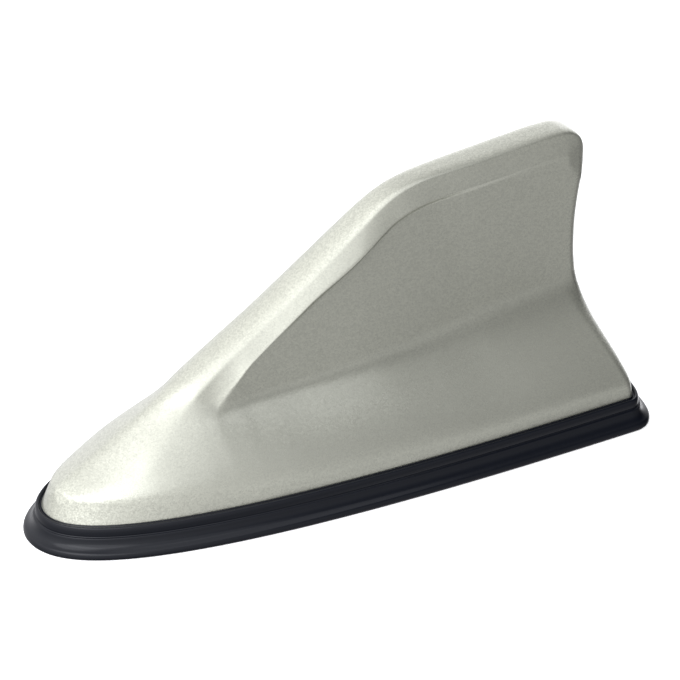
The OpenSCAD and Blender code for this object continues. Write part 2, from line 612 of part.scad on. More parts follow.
// round wire wound on the former, with a straight leg at each end
wind_n = 14;
wind_r = (former_d / 2 - 1.1 + wire_d / 2) / cos(180 / wind_n);
wind_lo = 2;
wind_hi = former_h - 2;
wire_path = concat([[wind_r, 0, 0]], [for (i = [0:coil_turns * wind_n])
  let (a = 360 * i / wind_n) [wind_r * cos(a), wind_r * sin(a),
    wind_lo + (wind_hi - wind_lo) * i / (coil_turns * wind_n)]], [[wind_r, 0, former_h]]);
module loading_coil() {
  n = len(wire_path);
  m = 6;
  rad = wire_d / 2 - 0.01;
  pts = [for (i = [0:n - 1]) let (q = wire_path[i],
      t = i == 0 || i == n - 1 ? [0, 0, 1]
        : (wire_path[i + 1] - wire_path[i - 1]) / norm(wire_path[i + 1] - wire_path[i - 1]),
      out = [q[0], q[1], 0] / norm([q[0], q[1], 0]), u = out - (out * t) * t,
      v = u / norm(u), w = cross(t, v))
    for (k = [0:m - 1]) q + rad * (cos(60 * k) * v + sin(60 * k) * w)];
  color([0.72, 0.42, 0.18])
  translate([coil_x, coil_y, board_top]) polyhedron(points = pts, faces = concat(
    [for (i = [0:n - 2]) for (k = [0:m - 1]) let (a = i * m + k, b = i * m + (k + 1) % m)
      for (t = [[a, a + m, b], [b, a + m, b + m]]) t],
    [[for (k = [0:m - 1]) k]], [[for (k = [m - 1:-1:0]) (n - 1) * m + k]]));
}

module coil_lug() {
  color([0.8, 0.66, 0.36])
  translate([coil_x - 1.5, mast_t / 2 + 0.2, board_top + former_h])
    cube([former_d / 2 + 1.5, coil_y + 1.4, 0.5]);
}

foam_x = mast_x1 - 23;
foam_len = 14;
module foam_block() {
  color([0.2, 0.2, 0.21])
  difference() {
    intersection() {
      shell_of(inner);
      translate([foam_x, -body_w / 2, mast_z(foam_x) - 3]) cube([foam_len, body_w, body_h]);
    }
    slice(mast_side, -mast_t / 2, mast_t);
    slice(cap_side, -mast_t / 2 - strip_t, mast_t + 2 * strip_t);
  }
}

cover();
gasket();
base_plate();
adhesive_pad();
cover_screws();
ground_plate();
circuit_board();
board_screws();
shield_can();
amplifier_chip();
chip_capacitors();
chip_inductors();
lead_socket();
socket_insulator();
socket_pin();
cable_grommet();
mast_holder();
mast_board();
cap_strip();
mast_track();
coil_former();
loading_coil();
coil_lug();
foam_block();
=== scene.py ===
"""Looks of the shark fin aerial: a fine skin for the painted cover, a fine rubber gasket, and
procedural materials for every solid. Sizes are in millimetres in the shape functions and in
metres in Blender. Nose to minus X, tail to plus X, roof at z = 0, symmetric about y = 0.

The shape functions work on a nominal fin, which placed() stretches to the real length, width
and height. In them x runs along the fin, z upwards, and y is the half thickness."""
import json
import math

import bpy
import numpy as np
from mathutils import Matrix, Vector


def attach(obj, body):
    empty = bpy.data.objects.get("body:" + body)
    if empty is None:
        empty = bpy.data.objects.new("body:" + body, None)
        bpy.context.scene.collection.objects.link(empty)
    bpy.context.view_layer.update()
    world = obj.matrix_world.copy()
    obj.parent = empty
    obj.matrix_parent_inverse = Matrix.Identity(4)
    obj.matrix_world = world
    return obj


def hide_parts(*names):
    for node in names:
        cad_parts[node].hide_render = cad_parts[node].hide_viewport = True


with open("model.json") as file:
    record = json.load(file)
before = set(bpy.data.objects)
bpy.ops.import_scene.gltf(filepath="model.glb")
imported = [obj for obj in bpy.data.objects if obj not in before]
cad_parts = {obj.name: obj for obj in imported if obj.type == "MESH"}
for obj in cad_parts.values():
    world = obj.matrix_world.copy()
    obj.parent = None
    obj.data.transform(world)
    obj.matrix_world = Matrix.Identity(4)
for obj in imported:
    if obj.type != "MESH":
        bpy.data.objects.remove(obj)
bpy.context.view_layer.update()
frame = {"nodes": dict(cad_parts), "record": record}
MM = 0.001

# sizes in millimetres, as in the part's source
BODY_LEN, BODY_W, BODY_H = 167.2, 76.0, 71.0
LIP_OUT = 4.7          # lip outside the cover edge
BEAD_OUT = 1.7         # bead outside the cover edge
FOOT_IN = 2.6          # rubber foot inside the cover edge
COVER_Z = 7.2          # bottom edge of the cover
COVER_WALL = 2.2
# the nominal fin: ends, half width, bottom edge, top, and the top of the trailing edge
NOM_NOSE, NOM_TAIL, NOM_HALF = -78.9, 78.9, 33.49
NOM_FOOT, NOM_TOP = 7.2, 71.0
TIP_X, TIP_Z = 77.8, 63.8
# from the nominal fin to the real one
KX = (BODY_LEN / 2 - LIP_OUT) / NOM_TAIL
KY = (BODY_W / 2 - LIP_OUT) / NOM_HALF
KZ = (BODY_H - COVER_Z) / (NOM_TOP - NOM_FOOT)

# top line of the fin in the side view, its heights fitted to the photograph's outline and then
# adjusted, and its trailing edge as height and distance
TOP = [(-76.7, 12.6), (-76, 13.5), (-74.6, 14.5), (-72.2, 15.8), (-68, 17.8), (-60, 21.9),
       (-48.2, 28.4), (-41.2, 32.5), (-34.3, 36.4), (-23.9, 42.2), (-13.3, 48.4), (-2.8, 55),
       (7.7, 61.7), (14, 65.5), (18.3, 67.5), (22.5, 68.8), (29.1, 69.8), (36.2, 70.1),
       (47, 70.4), (57.9, 70.8), (65, 71), (70.3, 70.8), (73.4, 70.1), (75.7, 68.5),
       (77.2, 66.2), (77.8, 63.8)]
TAIL = [(7.2, 78.9), (10, 78.8), (14, 78.3), (20, 77.4), (26, 76.2), (32, 75.4), (38, 75),
        (44, 75.1), (50, 75.7), (56, 76.7), (60, 77.4), (63.8, 77.8)]

# outline at the bottom edge: a long curve from the nose, fitted to the photograph's outline, a
# short one at the tail, and a soft join
NOSE_HALF, NOSE_REACH, NOSE_POWER = 37.8, 101, 0.473
TAIL_HALF, TAIL_REACH = 33, 4.6
JOIN, JOIN_FADE = 7, 8

# from nose to tail, as pairs of x and value: height of the rim strip's top and how far the
# strip leans in; height of the crease, worked out by fits to the photograph and then adjusted;
# the flare's two powers between the strip and the crease
RIM_Z = [(-79, 13.2), (-66, 12.7), (-58, 12.5), (-52, 12), (-45, 11.1), (-38, 10.3), (-22, 9.3),
         (0, 9), (27, 9.6), (65, 10.4), (79, 10.4)]
RIM_LEAN = [(-79, 0.13), (-60, 0.09), (-40, 0.03), (-20, 0.012), (79, 0.012)]
CREASE_Z = [(-79, 14.6), (-75, 15.4), (-70, 18.1), (-65, 20.9), (-55, 26.6), (-50, 28.9),
            (-45, 31.1), (-40, 32.7), (-36, 33.3), (-31, 33.3), (-26, 33), (-12, 32.3), (8, 31.9),
            (24, 30.8), (40, 29.9), (79, 29.4)]
FLARE_IN = [(-79, 1.35), (-68, 1.35), (-58, 1.3), (-45, 1.3), (-20, 1.42), (0, 1.46), (40, 1.35),
            (79, 1.25)]
FLARE_OUT = [(-79, 1.2), (-68, 1.2), (-58, 1.25), (-45, 1.17), (-36, 1.12), (-26, 1.07),
             (-10, 1.03), (20, 1), (79, 1)]
# half width of the ridge; depth and slope of the bevelled band under it; slope of the sunk
# panel; softness of the crease; size and power of the rounding on top of the ridge
RIDGE_HALF = [(-80, 4.7), (-44, 4.7), (-36, 4.4), (-28, 3.8), (-16, 3.4), (20, 3.4), (50, 3),
              (79, 2.6)]
BAND_DEPTH = [(-80, 12), (-44, 10.4), (-36, 8.2), (-30, 6.4), (-24, 4.9), (-8, 4.3), (8, 5.6),
              (24, 5.9), (79, 6.2)]
BAND_SLOPE = [(-80, 0.46), (-44, 0.48), (-36, 0.53), (-30, 0.71), (-24, 0.89), (-12, 0.98),
              (8, 0.73), (20, 0.42), (40, 0.36), (79, 0.33)]
PANEL_SLOPE = [(-40, 0.106), (-25, 0.106), (-5, 0.117), (8, 0.123), (20, 0.116), (40, 0.087),
               (79, 0.016)]
CREASE_SOFT = [(-75, 0.5), (-55, 5), (-42, 2.4), (-34, 1.2), (0, 1.8), (22, 3.6), (45, 9), (79, 11)]
ROUND_DEPTH = [(-80, 1), (-74, 2), (-66, 4), (-58, 5), (-45, 3.6), (-25, 1.7), (10, 1.5),
               (25, 1.2), (79, 1)]
ROUND_POWER = [(-80, 2), (-45, 2), (10, 2.3), (25, 2.8), (79, 3)]

SOFT_RIM = 0.06                    # softness of the bend between the rim strip and the flare
NOSE_LEAN, NOSE_LEAN_H = 0.4, 7.2  # how much and how high the rim strip leans back at the nose
LEAN_FROM, LEAN_TO = -77, -50      # where that lean fades out
TAIL_FROM, TAIL_TO = 40, 60        # where the outline starts to follow the trailing edge
WALL_FROM, WALL_TO = -62, -38      # where the ridge grows out of the nose
PANEL_HALF, PANEL_TOP = 4.7, 66.5  # half thickness of the sunk panel at its top, and that height
STEP_IN, STEP_OUT = 0.4, 1.3       # the soft step from the band to the panel
TAIL_ROUND, TAIL_EDGE = 3.2, 0.6   # rounding of the wall, and of all the fin, at its trailing edge


# curves
def along(x, table):
    """Smooth curve through a table of (x, value) pairs, without overshoot."""
    px, py = np.array(table, float).T
    x = np.clip(x, px[0], px[-1])
    i = np.clip(np.searchsorted(px, x, side="right") - 1, 0, len(px) - 2)
    step = np.diff(py) / np.diff(px)
    both = step[:-1] * step[1:]
    total = np.where(both > 0, step[:-1] + step[1:], 1)
    slope = np.concatenate([[step[0]], np.where(both > 0, 2 * both / total, 0), [step[-1]]])
    w = px[i + 1] - px[i]
    t = (x - px[i]) / w
    return (py[i] * (1 - t) ** 2 * (1 + 2 * t) + slope[i] * w * t * (1 - t) ** 2
            + py[i + 1] * t * t * (3 - 2 * t) - slope[i + 1] * w * t * t * (1 - t))


def ease(x, a, b):
    """From 0 at a to 1 at b, level at both ends."""
    t = np.clip((x - a) / (b - a), 0, 1)
    return t * t * (3 - 2 * t)


def bunched(f, even=0):
    """Shares from 0 to 1, closer together at both ends; even is the part of even spacing."""
    return even * f + (1 - even) * (0.5 - 0.5 * np.cos(np.pi * f))


def soft_max(a, b, k):
    """The larger of two values, rounded where they come within k of each other."""
    g = np.maximum(k - np.abs(a - b), 0)
    return np.maximum(a, b) + g * g / (4 * k)


def half_base(x):
    """Half width of the cover's outline at its bottom edge."""
    s = np.maximum(x - NOM_NOSE, 0)
    f = NOSE_HALF * (1 - np.exp(-s / NOSE_REACH)) ** NOSE_POWER
    r = TAIL_HALF * np.sqrt(np.maximum(NOM_TAIL - x, 0) / TAIL_REACH)
    g = np.maximum(JOIN - np.abs(f - r), 0)
    least = np.minimum(f, r)
    return least - g * g / (4 * JOIN) * np.clip(least / JOIN_FADE, 0, 1)


def gap_to(x, z, line):
    """Distance in the side view from points to a polyline."""
    best = np.full(np.shape(x), 1e9)
    for (ax, az), (bx, bz) in zip(line[:-1], line[1:]):
        dx, dz = bx - ax, bz - az
        t = np.clip(((x - ax) * dx + (z - az) * dz) / (dx * dx + dz * dz), 0, 1)
        best = np.minimum(best, np.hypot(x - ax - t * dx, z - az - t * dz))
    return best


top_run = np.concatenate([[0], np.cumsum(np.hypot(*np.diff(np.array(TOP), axis=0).T))])
TOP_LEN = top_run[-1]
TOP_X = list(zip(top_run, [p[0] for p in TOP]))
TOP_Z = list(zip(top_run, [p[1] for p in TOP]))


def top_at(s):
    """Points of the top line at distances from the nose along it."""
    return np.stack([along(s, TOP_X), along(s, TOP_Z)], -1)


# many points of the top line, closer together at its two ends
FINE_EVEN, FINE_POINTS = 0.12, 321
TOP_FINE = top_at(TOP_LEN * bunched(np.linspace(0, 1, FINE_POINTS), FINE_EVEN))


# the fin's surface
def half_fin(x, z):
    """Half thickness of the fin at points of the side view."""
    # distances from the top line and from the trailing edge
    d = gap_to(x, z, TOP_FINE)
    e = np.maximum(along(z, TAIL) - x, 0)
    # rim strip and flare, narrowing from the outline at the bottom edge to nothing at the crease
    rim_z, crease_z = along(x, RIM_Z), along(x, CREASE_Z)
    above = (z - rim_z) / (crease_z - rim_z)
    u = np.clip((above + np.hypot(above, SOFT_RIM)) / 2, 0, 1)
    rim = 1 - along(x, RIM_LEAN) * np.clip((z - NOM_FOOT) / (rim_z - NOM_FOOT), 0, 1)
    to_tail = ease(x, TAIL_FROM, TAIL_TO)
    at_nose = 1 - ease(x, LEAN_FROM, LEAN_TO)
    lean = NOSE_LEAN * (np.clip(z, NOM_FOOT, NOM_FOOT + NOSE_LEAN_H) - NOM_FOOT) * at_nose
    xe = (x - lean) * (1 - to_tail) + (NOM_TAIL - e) * to_tail
    low = half_base(xe) * rim * (1 - u ** along(x, FLARE_IN)) ** (1 / along(x, FLARE_OUT))
    # ridge, bevelled band and sunk panel
    depth = along(x, BAND_DEPTH)
    band = along(x, RIDGE_HALF) + along(x, BAND_SLOPE) * np.minimum(d, depth)
    panel = PANEL_HALF + np.maximum(PANEL_TOP - z, 0) * along(x, PANEL_SLOPE)
    step = ease(d, depth - STEP_IN, depth + STEP_OUT)
    tail_round = np.sqrt(1 - (1 - np.clip(e / TAIL_ROUND, 0, 1)) ** 2)
    wall = (band * (1 - step) + panel * step) * tail_round * ease(x, WALL_FROM, WALL_TO)
    y = soft_max(low, wall, along(x, CREASE_SOFT))
    # rounding towards the top line and the trailing edge
    power = along(x, ROUND_POWER)
    return (y * np.sqrt(np.clip(e / TAIL_EDGE, 0, 1))
            * (1 - (1 - np.clip(d / along(x, ROUND_DEPTH), 0, 1)) ** power) ** (1 / power))


# rows of the skin's grid: heights over the bottom edge, and distances under the top line as a
# share of the band's depth and a length; both shrink where a column is shorter than FULL_RUN,
# and the rows under the top line take at most MOST_TOP of it
LOW_STEPS = [0, 1.1, 2, 2.7, 3.6, 5.4, 8]
TOP_STEPS = [(1, 3.6), (1, 1.55), (1, 0.95), (1, 0.4), (1, -0.2), (0.6, 0), (0.34, 0), (0.2, 0),
             (0.11, 0), (0.05, 0), (0.015, 0), (0, 0)]
MID_ROWS = 5
FULL_RUN, MOST_TOP = 42, 0.72
COLUMNS, ROW_PARTS = 220, 4
TOP_EVEN = 0.55          # part of even spacing of the columns along the top line
SWING_FROM = 0.45        # columns behind this share of the length bend with the trailing edge
LEAST_SINE = 0.4         # least sine of the angle between a column and the top line
BAND_MIDDLE = 5          # distance under the top line at which the band's depth is read


def col_x(f):
    return NOM_NOSE + (NOM_TAIL - NOM_NOSE) * bunched(f)


def col_top(f):
    return top_at(TOP_LEN * bunched(f, TOP_EVEN))


def row_shares(run, sn, depth):
    """Where the rows of one column lie, from 0 at the bottom edge to 1 at the ridge."""
    m = min(1, run / FULL_RUN)
    up = [a * depth + b for a, b in TOP_STEPS]
    mt = min(m / sn, MOST_TOP * run / up[0])
    low, high = LOW_STEPS[-1] * m, run - up[0] * mt
    mid = [low + (high - low) * (k + 1) / (MID_ROWS + 1) for k in range(MID_ROWS)]
    return np.array([s * m for s in LOW_STEPS] + mid + [run - s * mt for s in up]) / run


def fine_rows(shares, times):
    """The same rows with evenly spaced ones put in between."""
    at = np.arange(len(shares))
    return np.interp(np.linspace(0, len(shares) - 1, (len(shares) - 1) * times + 1), at, shares)


def side_grid(cols, times):
    """Points of the side view, rows by columns."""
    near = 0.01          # share of the top line over which its direction is taken
    out = []
    for i in range(cols + 1):
        f = i / cols
        b, t = np.array([col_x(f), NOM_FOOT]), col_top(f)
        t1, t2 = col_top(max(f - near, 0)), col_top(min(f + near, 1))
        run = np.linalg.norm(t - b)
        lean, tan = (t - b) / run, (t2 - t1) / np.linalg.norm(t2 - t1)
        sn = max(abs(lean[0] * tan[1] - lean[1] * tan[0]), LEAST_SINE)
        depth = float(along(t[0] - lean[0] * BAND_MIDDLE / sn, BAND_DEPTH))
        v = fine_rows(row_shares(run, sn, depth), times)
        zt = NOM_FOOT + (TIP_Z - NOM_FOOT) * v
        r = np.stack([along(zt, TAIL), zt], -1)
        rl = (np.array([NOM_TAIL, NOM_FOOT])
              + np.outer(v, [TIP_X - NOM_TAIL, TIP_Z - NOM_FOOT]))
        out.append(b + np.outer(v, t - b) + (r - rl) * ease(f, SWING_FROM, 1))
    return np.array(out).transpose(1, 0, 2)


def placed(x, y, z):
    """Nominal millimetres to metres in the frame."""
    return np.stack([x * KX, y * KY, COVER_Z + (z - NOM_FOOT) * KZ], -1) * MM


def ring_points(cols, off):
    """One side of the cover outline moved outwards, nose to tail, in millimetres."""
    x = col_x(np.arange(cols + 1) / cols)
    p = np.stack([x * KX, half_base(x) * KY], -1)
    t = p[np.minimum(np.arange(cols + 1) + 1, cols)] - p[np.maximum(np.arange(cols + 1) - 1, 0)]
    t /= np.linalg.norm(t, axis=1)[:, None]
    n = np.stack([-t[:, 1], t[:, 0]], -1)
    n[0], n[-1] = (-1, 0), (1, 0)
    return p + off * n


# meshes
def add_mesh(name, verts, faces, material):
    """A smooth shaded piece that rides on the aerial's one body."""
    me = bpy.data.meshes.new(name)
    me.from_pydata([tuple(v) for v in verts], [], [tuple(f) for f in faces])
    me.validate()
    me.polygons.foreach_set("use_smooth", [True] * len(me.polygons))
    me.materials.append(material)
    ob = bpy.data.objects.new(name, me)
    bpy.context.scene.collection.objects.link(ob)
    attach(ob, "root")
    return ob


def grid_faces(rows, cols, base, flip):
    """Quads of a grid whose first vertex has the number base."""
    j, i = np.meshgrid(np.arange(rows - 1), np.arange(cols - 1), indexing="ij")
    a = (base + j * cols + i).ravel()
    quads = np.stack([a, a + 1, a + cols + 1, a + cols], -1)
    return quads[:, ::-1] if flip else quads


def cover_mesh(material):
    """Outer skin, inner skin and the foot between them."""
    cols = COLUMNS
    side = side_grid(cols, ROW_PARTS)
    y = half_fin(side[..., 0], side[..., 1])
    y[:, 0] = y[:, -1] = y[-1] = 0
    y[0] = half_base(side[0, :, 0])
    y[0, 0] = y[0, -1] = 0
    outer = placed(side[..., 0], y, side[..., 1])
    inner = inner_skin(cols)
    foot = inner[:1].copy()
    foot[..., 2] = COVER_Z * MM
    stack = np.concatenate([inner[::-1], foot, outer])
    rows = len(stack)
    mirrored = stack * (1, -1, 1)
    verts = np.concatenate([stack.reshape(-1, 3), mirrored.reshape(-1, 3)])
    faces = np.concatenate([grid_faces(rows, cols + 1, 0, False),
                            grid_faces(rows, cols + 1, rows * (cols + 1), True)])
    # one vertex where the two sides meet
    key = np.round(verts, 8)
    _, first, index = np.unique(key, axis=0, return_index=True, return_inverse=True)
    faces = index.reshape(-1)[faces]
    verts = verts[first]
    return add_mesh("cover_skin", verts, clean(faces), material)


def clean(faces):
    """Drops repeated corners, so that collapsed quads become triangles or go."""
    out = []
    for f in faces.tolist():
        g = [v for k, v in enumerate(f) if v != f[k - 1]]
        if len(g) > 2 and len(set(g)) == len(g):
            out.append(g)
    return out


# the hollow: its top line starts at HOLLOW_FROM of the ridge's length, spans HOLLOW_SPAN of it
# and runs TOP_WALL under it; between BACK_LOW and BACK_HIGH the rear wall grows 1 mm thicker
HOLLOW_FROM, HOLLOW_SPAN, HOLLOW_POINTS = 0.012, 0.958, 61
TOP_WALL = 3
HOLLOW_ROWS = 14
COLS_EVEN, ROWS_EVEN = 0.5, 0.4    # part of even spacing of its columns and of its rows
NEAR_STEP = 0.5                    # distance over which the direction of the top line is taken
BACK_LOW, BACK_HIGH = 8, 20
LOOK_OUT, LOOK_UP = 1.02, 1.4      # where the outer skin is read for a point of the hollow
SIDE_GAIN, LEAST_HALF = 0.3, 1.1   # half width: given back to the hollow, and the least
TOP_ROUND, BACK_ROUND = 1.5, 2     # rounding of the hollow at its top and at its rear


def hollow_back(z):
    """Rear edge of the hollow in the side view."""
    return along(z, TAIL) - COVER_WALL - ease(z, BACK_LOW, BACK_HIGH)


def inner_skin(cols):
    """The hollow's surface, the wall's thickness inside the outer skin; rows by columns."""
    rows = HOLLOW_ROWS
    s = TOP_LEN * (HOLLOW_FROM + HOLLOW_SPAN * np.arange(HOLLOW_POINTS) / (HOLLOW_POINTS - 1))
    a = top_at(s)
    b, c = top_at(np.minimum(s + NEAR_STEP, TOP_LEN)), top_at(np.maximum(s - NEAR_STEP, 0))
    v = (b - c) / np.linalg.norm(b - c, axis=1)[:, None]
    top = a + TOP_WALL * np.stack([v[:, 1], -v[:, 0]], -1)
    run = np.concatenate([[0], np.cumsum(np.hypot(*np.diff(top, axis=0).T))])
    base = ring_points(cols, -COVER_WALL)
    out = np.zeros((rows + 1, cols + 1, 3))
    for i in range(cols + 1):
        f = i / cols
        length = bunched(f, COLS_EVEN) * run[-1]
        t = np.array([np.interp(length, run, top[:, k]) for k in (0, 1)])
        # rows closer together towards the top
        w = np.arange(rows + 1) / rows
        up = ROWS_EVEN * w + (1 - ROWS_EVEN) * w * (2 - w)
        b0 = np.array([base[i, 0] / KX, NOM_FOOT])
        r0, r1 = np.array([base[-1, 0] / KX, NOM_FOOT]), top[-1]
        zt = NOM_FOOT + (r1[1] - NOM_FOOT) * up
        r = np.stack([hollow_back(zt), zt], -1)
        q = (b0 + np.outer(up, t - b0)
             + (r - r0 - np.outer(up, r1 - r0)) * ease(f, SWING_FROM, 1))
        d = gap_to(q[:, 0], q[:, 1], top[::3])
        e = np.maximum(hollow_back(q[:, 1]) - q[:, 0], 0)
        outer = half_fin(q[:, 0] * LOOK_OUT, q[:, 1] + LOOK_UP)
        y = np.maximum(outer - COVER_WALL + SIDE_GAIN, LEAST_HALF)
        y *= np.sqrt(1 - (1 - np.clip(d / TOP_ROUND, 0, 1)) ** 2)
        y *= np.sqrt(1 - (1 - np.clip(e / BACK_ROUND, 0, 1)) ** 2)
        y[0] = base[i, 1] / KY
        if i in (0, cols):
            y[:] = 0
        y[-1] = 0
        out[:, i] = placed(q[:, 0], y, q[:, 1])
    return out


def gasket_mesh(material):
    """The rubber section swept round the cover, with a round bead and a hollow skirt."""
    # foot, groove beside the cover, bead, shelf, skirt, lip, underside: distance out and height
    knots = [(-FOOT_IN, COVER_Z), (-1.2, COVER_Z), (0.05, COVER_Z), (0.22, COVER_Z - 0.3),
             (0.42, COVER_Z - 0.42), (0.62, COVER_Z - 0.2), (0.85, COVER_Z + 0.06),
             (1.15, COVER_Z + 0.14), (1.42, COVER_Z + 0.02), (1.6, COVER_Z - 0.35),
             (BEAD_OUT, COVER_Z - 0.9), (BEAD_OUT, COVER_Z - 1.6), (BEAD_OUT - 0.02, COVER_Z - 2),
             (BEAD_OUT - 0.05, COVER_Z - 2.25), (BEAD_OUT + 0.15, COVER_Z - 2.42),
             (BEAD_OUT + 0.42, COVER_Z - 2.5), (BEAD_OUT + 0.55, 4.4), (BEAD_OUT + 0.68, 3.8),
             (BEAD_OUT + 0.95, 3.1), (BEAD_OUT + 1.4, 2.5), (BEAD_OUT + 2, 2.05),
             (LIP_OUT - 0.5, 1.8), (LIP_OUT - 0.22, 1.55), (LIP_OUT - 0.05, 1.15), (LIP_OUT, 0.7),
             (LIP_OUT - 0.04, 0.3), (LIP_OUT - 0.2, 0.04), (LIP_OUT - 0.4, 0), (2.2, 0),
             (1.3, 0.7), (-0.4, 0.7), (-1, 0), (-FOOT_IN, 0)]
    # the curve is smooth from the knot of the groove to the end of the lip
    groove, lip_end, parts = 2, 27, 3
    loops = []
    for off, h in rounded(knots, parts, range(groove, lip_end)):
        half = ring_points(COLUMNS, off)
        whole = np.concatenate([half, half[-2:0:-1] * (1, -1)])
        loops.append(np.column_stack([whole, np.full(len(whole), h)]))
    pts = np.array(loops).transpose(1, 0, 2) * MM
    n, k = pts.shape[:2]
    i, j = np.meshgrid(np.arange(n), np.arange(k), indexing="ij")
    a, b = i * k + j, i * k + (j + 1) % k
    c, d = ((i + 1) % n) * k + j, ((i + 1) % n) * k + (j + 1) % k
    faces = np.stack([a, b, d, c], -1).reshape(-1, 4)
    return add_mesh("gasket_rubber", pts.reshape(-1, 3), faces.tolist(), material)


def rounded(knots, times, smooth):
    """Points on a smooth curve through the knots named in smooth, straight elsewhere."""
    k = np.array(knots)
    out = []
    for i in range(len(k)):
        j = (i + 1) % len(k)
        out.append(k[i])
        if i in smooth and i + 1 in smooth:
            before, after = k[i - 1], k[(j + 1) % len(k)]
            if i - 1 not in smooth:
                before = 2 * k[i] - k[j]
            if i + 2 not in smooth:
                after = 2 * k[j] - k[i]
            for s in range(1, times):
                t = s / times
                out.append(0.5 * (2 * k[i] + (k[j] - before) * t
                                  + (2 * before - 5 * k[i] + 4 * k[j] - after) * t * t
                                  + (3 * k[i] - before - 3 * k[j] + after) * t ** 3))
    return out


# materials
def material(name):
    """A new material with its nodes and links."""
    m = bpy.data.materials.new(name)
    m.use_nodes = True
    return m, m.node_tree.nodes, m.node_tree.links


def socket(shader, values):
    """Sets a shader's own sockets."""
    for key, value in values.items():
        shader.inputs[key].default_value = value


def paint(name, light, dark, flake_mm, tilt_by):
    """Metallic paint: fine flakes that tilt the normal and change the brightness, under lacquer."""
    m, n, l = material(name)
    sh = n["Principled BSDF"]
    socket(sh, {"Metallic": 0.7, "Roughness": 0.33, "Coat Weight": 0.45,
                "Coat Roughness": 0.14, "Coat IOR": 1.5})
    at = n.new("ShaderNodeTexCoord")
    flakes = n.new("ShaderNodeTexVoronoi")
    socket(flakes, {"Scale": 1000 / flake_mm})
    l.new(at.outputs["Object"], flakes.inputs["Vector"])
    mix = n.new("ShaderNodeMix")
    mix.data_type = "RGBA"
    mix.inputs["A"].default_value = (*dark, 1)
    mix.inputs["B"].default_value = (*light, 1)
    split = n.new("ShaderNodeSeparateColor")
    l.new(flakes.outputs["Color"], split.inputs["Color"])
    l.new(split.outputs["Red"], mix.inputs["Factor"])
    l.new(mix.outputs["Result"], sh.inputs["Base Color"])
    tilt = n.new("ShaderNodeVectorMath")
    tilt.operation = "SUBTRACT"
    tilt.inputs[1].default_value = (0.5, 0.5, 0.5)
    l.new(flakes.outputs["Color"], tilt.inputs[0])
    scale = n.new("ShaderNodeVectorMath")
    scale.operation = "SCALE"
    scale.inputs["Scale"].default_value = tilt_by
    l.new(tilt.outputs[0], scale.inputs[0])
    geo = n.new("ShaderNodeNewGeometry")
    add = n.new("ShaderNodeVectorMath")
    l.new(geo.outputs["Normal"], add.inputs[0])
    l.new(scale.outputs[0], add.inputs[1])
    unit = n.new("ShaderNodeVectorMath")
    unit.operation = "NORMALIZE"
    l.new(add.outputs[0], unit.inputs[0])
    l.new(unit.outputs[0], sh.inputs["Normal"])
    return m


ROUGH_RANGE = 0.04       # how far the gloss varies to each side


def plain(name, base, rough, metallic=0.0, grain_mm=0.8, grain=0.05, bump=0.02, **more):
    """Moulded or machined surface with a fine grain in its colour, gloss and height."""
    m, n, l = material(name)
    sh = n["Principled BSDF"]
    socket(sh, {"Metallic": metallic, **more})
    at = n.new("ShaderNodeTexCoord")
    noise = n.new("ShaderNodeTexNoise")
    socket(noise, {"Scale": 1000 / grain_mm, "Detail": 4, "Roughness": 0.6})
    l.new(at.outputs["Object"], noise.inputs["Vector"])
    ramp = n.new("ShaderNodeMapRange")
    socket(ramp, {"To Min": 1 - grain, "To Max": 1 + grain})
    l.new(noise.outputs["Fac"], ramp.inputs["Value"])
    tint = n.new("ShaderNodeVectorMath")
    tint.operation = "SCALE"
    tint.inputs[0].default_value = base
    l.new(ramp.outputs["Result"], tint.inputs["Scale"])
    l.new(tint.outputs[0], sh.inputs["Base Color"])
    gloss = n.new("ShaderNodeMapRange")
    socket(gloss, {"To Min": rough - ROUGH_RANGE, "To Max": rough + ROUGH_RANGE})
    l.new(noise.outputs["Fac"], gloss.inputs["Value"])
    l.new(gloss.outputs["Result"], sh.inputs["Roughness"])
    b = n.new("ShaderNodeBump")
    socket(b, {"Strength": 0.3, "Distance": bump * MM})
    l.new(noise.outputs["Fac"], b.inputs["Height"])
    l.new(b.outputs["Normal"], sh.inputs["Normal"])
    return m


mats = {
    "painted_cover": paint("champagne_paint", (0.482, 0.488, 0.415), (0.345, 0.35, 0.297),
                           flake_mm=0.32, tilt_by=0.1),
    "black_rubber": plain("gasket_rubber", (0.003, 0.004, 0.007), 0.2, grain_mm=1.2, grain=0.2,
                          bump=0.01, **{"Specular IOR Level": 0.25}),
    "black_plastic": plain("black_moulding", (0.022, 0.022, 0.023), 0.5, grain_mm=0.3, bump=0.03),
    "foam_tape": plain("foam", (0.07, 0.07, 0.075), 0.9, grain_mm=0.5, grain=0.4, bump=0.15),
    "plated_steel": plain("zinc_plate", (0.56, 0.56, 0.53), 0.32, 1.0, grain_mm=0.4, grain=0.1),
    "tinned_steel": plain("tin_plate", (0.66, 0.66, 0.64), 0.26, 1.0, grain_mm=0.9, grain=0.06),
    "green_laminate": plain("solder_resist", (0.015, 0.13, 0.05), 0.32, grain_mm=1.5, grain=0.12),
    "black_resin": plain("resin", (0.018, 0.018, 0.019), 0.55, grain_mm=0.2, bump=0.02),
    "capacitor_body": plain("fired_body", (0.36, 0.26, 0.15), 0.5, grain_mm=0.4, grain=0.15),
    "contact_brass": plain("brass", (0.72, 0.52, 0.22), 0.25, 1.0, grain_mm=0.6),
    "copper": plain("copper", (0.75, 0.33, 0.17), 0.28, 1.0, grain_mm=0.6, grain=0.08),
    "white_plastic": plain("ivory_moulding", (0.7, 0.68, 0.6), 0.45, grain_mm=0.4, bump=0.02),
}

slot_of = {s["node"]: s["material_slot"] for s in frame["record"]["subparts"]}
for node, ob in frame["nodes"].items():
    ob.data.materials.clear()
    ob.data.materials.append(mats[slot_of[node]])

